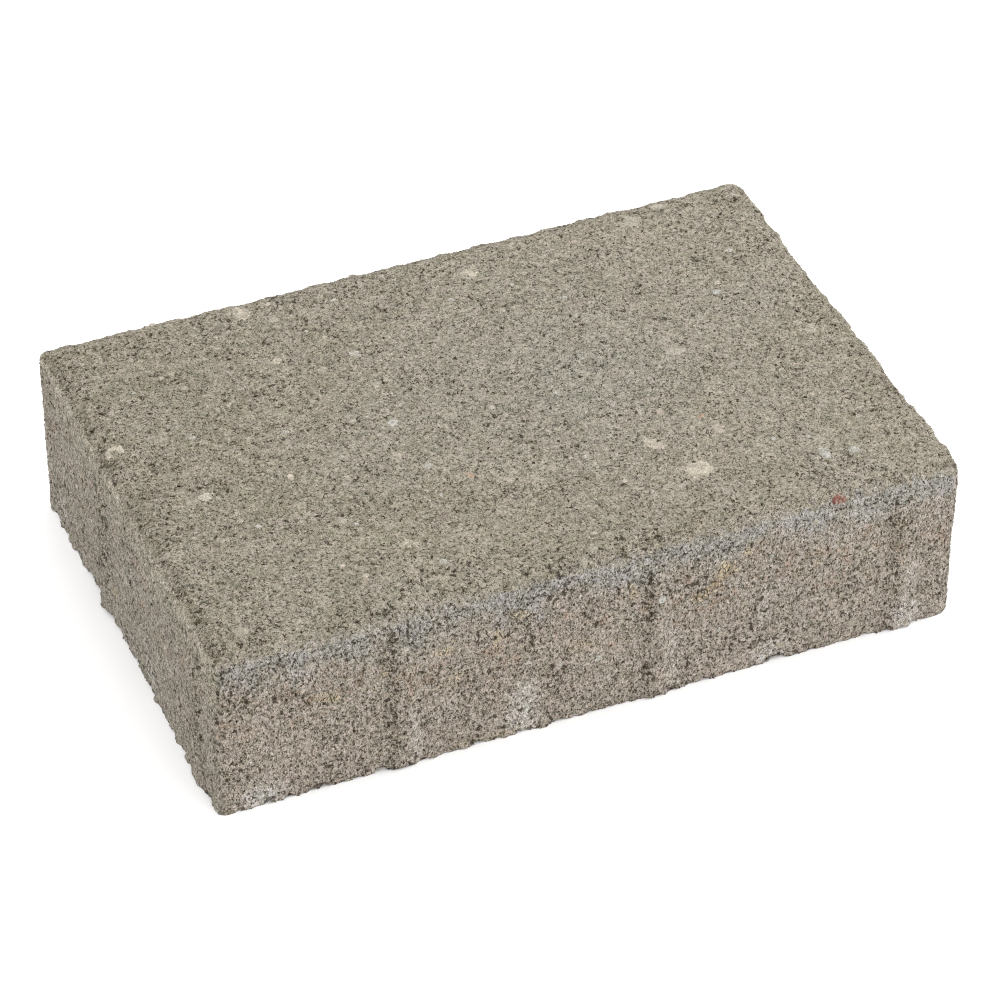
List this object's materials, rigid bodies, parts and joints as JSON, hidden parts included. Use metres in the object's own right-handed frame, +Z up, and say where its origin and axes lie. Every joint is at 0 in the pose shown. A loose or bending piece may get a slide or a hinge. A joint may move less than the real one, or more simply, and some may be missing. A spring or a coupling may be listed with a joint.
{
  "type": "concrete paving stone",
  "caption": "Rectangular pressed-concrete paving stone with a chamfered wearing face and vertical spacer ribs that keep the joints open.",
  "frame": {"origin": "centre of the bed, the flat face that the stone lies on", "axes": "+X along the stone's length, +Y across it, +Z up from the bed to the wearing face"},
  "size_m": [0.24, 0.16, 0.06],
  "materials": {
    "concrete": "pressed grey-olive concrete, open sandy grain with small gravel showing, matte"
  },
  "bodies": {
    "root": {"paving_stone": "concrete"}
  },
  "joints": []
}
